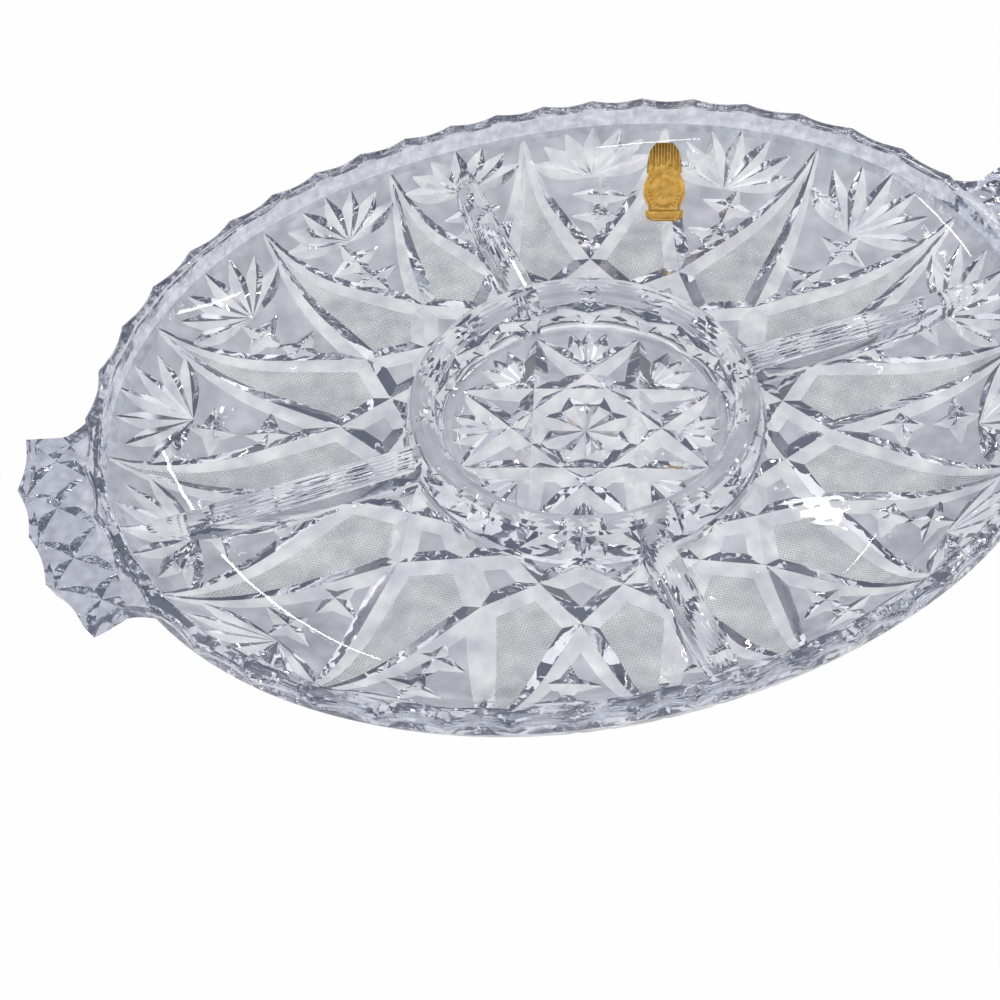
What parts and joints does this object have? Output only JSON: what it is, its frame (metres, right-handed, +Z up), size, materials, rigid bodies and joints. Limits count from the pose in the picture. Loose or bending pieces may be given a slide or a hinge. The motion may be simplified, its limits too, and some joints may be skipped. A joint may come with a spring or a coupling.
{
  "type": "relish tray",
  "caption": "Oval pressed-glass relish tray with a ringed centre well, four outer compartments, a scalloped rim and two flat tab handles.",
  "frame": {"origin": "middle of the base on the table", "axes": "+Z up, +X along the tray's length from handle to handle, +Y to the back"},
  "size_m": [0.3392, 0.249, 0.0295],
  "materials": {
    "glass": "clear polished pressed glass",
    "foil": "embossed gold foil"
  },
  "bodies": {
    "root": {"well_floor": "glass", "centre_ring": "glass", "floor_front_left": "glass", "floor_front_right": "glass", "floor_back_left": "glass", "floor_back_right": "glass", "wall_front_left": "glass", "wall_front_right": "glass", "wall_back_left": "glass", "wall_back_right": "glass", "rim": "glass", "divider_front": "glass", "divider_back": "glass", "divider_left": "glass", "divider_right": "glass", "handle_left": "glass", "handle_right": "glass", "foil_label": "foil"}
  },
  "joints": []
}
